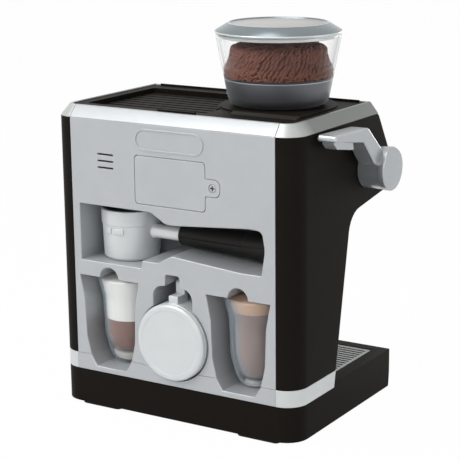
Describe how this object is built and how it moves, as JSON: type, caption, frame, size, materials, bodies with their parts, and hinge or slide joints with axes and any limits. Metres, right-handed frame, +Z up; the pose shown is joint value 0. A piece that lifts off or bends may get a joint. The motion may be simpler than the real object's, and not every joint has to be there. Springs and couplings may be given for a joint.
{
  "type": "toy coffee maker",
  "caption": "Toy espresso machine with a bean hopper, tamping lever, drip tray, control panel and rear wells that store a filter holder, glasses and milk jug.",
  "frame": {"origin": "on the resting plane, under the centre of the base", "axes": "+Z up; the control panel faces -Y and the wells open to +Y; the tamping lever is on -X"},
  "size_m": [0.2432, 0.1683, 0.3096],
  "materials": {
    "black_shell": "fine matt moulded ABS",
    "silver_shell": "silver-pigmented satin ABS",
    "silver_trim": "silver painted ABS",
    "clear_plastic": "clear polystyrene",
    "grey_metallic": "metallic grey moulding",
    "bean_brown": "moulded PVC beans",
    "lever_silver": "silver painted ABS",
    "knob_silver": "silver painted ABS",
    "chrome_plate": "vacuum metallised",
    "dial_white": "printed card",
    "needle_red": "painted",
    "steel": "zinc plated",
    "board_green": "glass-fibre board",
    "nylon_white": "moulded nylon",
    "inner_black": "moulded ABS",
    "cell_jacket": "printed jacket",
    "foot_rubber": "moulded",
    "grip_rubber": "moulded",
    "handle_black": "satin moulded ABS",
    "holder_silver": "silver painted ABS",
    "coffee_brown": "moulded filling",
    "foam_white": "moulded filling",
    "coffee_grey": "moulded filling",
    "foam_tan": "moulded filling"
  },
  "bodies": {
    "housing": {"base": "black_shell", "tray_well": "black_shell", "base_plate": "black_shell", "feet": "foot_rubber", "base_screws": "steel", "left_band": "silver_trim", "right_band": "silver_trim", "left_side_shell": "black_shell", "right_side_shell": "black_shell", "left_top_trim": "silver_trim", "right_top_trim": "silver_trim", "rear_panel": "silver_shell", "top_cover": "black_shell", "control_panel": "silver_shell", "head_underside": "black_shell", "column_front": "black_shell", "portafilter_well": "silver_shell", "latte_well": "silver_shell", "cappuccino_well": "silver_shell", "jug_well": "silver_shell", "hopper_bowl": "clear_plastic", "hopper_insert": "grey_metallic", "bean_mound": "bean_brown", "gauge_ring": "chrome_plate", "gauge_dial": "dial_white", "gauge_needle": "needle_red", "gauge_lens": "clear_plastic", "circuit_board": "board_green", "group_head": "chrome_plate", "grinder_outlet": "inner_black", "lever_bearing": "nylon_white", "battery_box": "inner_black", "battery_contacts": "steel", "batteries": "cell_jacket", "speaker": "inner_black"},
    "hopper_lid": {"hopper_lid": "silver_trim"},
    "lever": {"tamping_lever": "lever_silver", "lever_axle": "steel", "lever_spring": "steel"},
    "dose_knob": {"dose_knob": "knob_silver"},
    "steam_knob": {"steam_knob": "knob_silver"},
    "power_button": {"power_button": "chrome_plate"},
    "single_button": {"single_button": "chrome_plate"},
    "double_button": {"double_button": "chrome_plate"},
    "steam_wand": {"steam_wand": "chrome_plate", "wand_grip": "grip_rubber"},
    "battery_door": {"battery_door": "silver_shell"},
    "battery_door_screw": {"battery_door_screw": "steel"},
    "drip_tray": {"drip_tray": "inner_black", "drip_grille": "silver_trim"},
    "portafilter": {"portafilter_basket": "holder_silver", "filter_insert": "steel", "portafilter_handle": "handle_black"},
    "latte_glass": {"latte_glass": "clear_plastic", "latte_coffee": "coffee_brown", "latte_foam": "foam_white"},
    "cappuccino_glass": {"cappuccino_glass": "clear_plastic", "cappuccino_coffee": "coffee_grey", "cappuccino_foam": "foam_tan"},
    "milk_jug": {"milk_jug": "holder_silver"}
  },
  "joints": [
    {"name": "lever_swing", "type": "hinge", "parent": "housing", "child": "lever", "pos_m": [-0.11, -0.0312, 0.1976], "axis": [1, 0, 0], "range_deg": [0, 75], "stiffness_Nm_per_rad": 0.06, "springref_deg": -20.05},
    {"name": "lid_lift", "type": "slide", "parent": "housing", "child": "hopper_lid", "axis": [0, 0, 1], "range_m": [0, 0.03]},
    {"name": "dose_turn", "type": "hinge", "parent": "housing", "child": "dose_knob", "pos_m": [-0.074, -0.06565, 0.21249], "axis": [0, -0.8536, 0.521], "range_deg": [-135, 135]},
    {"name": "steam_turn", "type": "hinge", "parent": "housing", "child": "steam_knob", "pos_m": [0.074, -0.06565, 0.21249], "axis": [0, -0.8536, 0.521], "range_deg": [-180, 0]},
    {"name": "power_press", "type": "slide", "parent": "housing", "child": "power_button", "axis": [0, 0.8536, -0.521], "range_m": [0, 0.0015], "stiffness_N_per_m": 250, "springref_m": -0.001},
    {"name": "single_press", "type": "slide", "parent": "housing", "child": "single_button", "axis": [0, 0.8536, -0.521], "range_m": [0, 0.0015], "stiffness_N_per_m": 250, "springref_m": -0.001},
    {"name": "double_press", "type": "slide", "parent": "housing", "child": "double_button", "axis": [0, 0.8536, -0.521], "range_m": [0, 0.0015], "stiffness_N_per_m": 250, "springref_m": -0.001},
    {"name": "wand_swivel", "type": "hinge", "parent": "housing", "child": "steam_wand", "pos_m": [0.086, -0.042, 0.16567], "axis": [0, 0, 1], "range_deg": [-35, 35]},
    {"name": "door_pull", "type": "slide", "parent": "housing", "child": "battery_door", "axis": [0, 1, 0], "range_m": [0, 0.02]},
    {"name": "door_screw_turn", "type": "hinge", "parent": "battery_door", "child": "battery_door_screw", "pos_m": [-0.03835, 0.08, 0.1927], "axis": [0, 1, 0], "continuous": true},
    {"name": "tray_lift", "type": "slide", "parent": "housing", "child": "drip_tray", "axis": [0, 0, 1], "range_m": [0, 0.021]},
    {"name": "portafilter_pull", "type": "slide", "parent": "housing", "child": "portafilter", "axis": [0, 1, 0], "range_m": [0, 0.062]},
    {"name": "latte_pull", "type": "slide", "parent": "housing", "child": "latte_glass", "axis": [0, 1, 0], "range_m": [0, 0.058]},
    {"name": "cappuccino_pull", "type": "slide", "parent": "housing", "child": "cappuccino_glass", "axis": [0, 1, 0], "range_m": [0, 0.058]},
    {"name": "jug_pull", "type": "slide", "parent": "housing", "child": "milk_jug", "axis": [0, 1, 0], "range_m": [0, 0.056]}
  ]
}
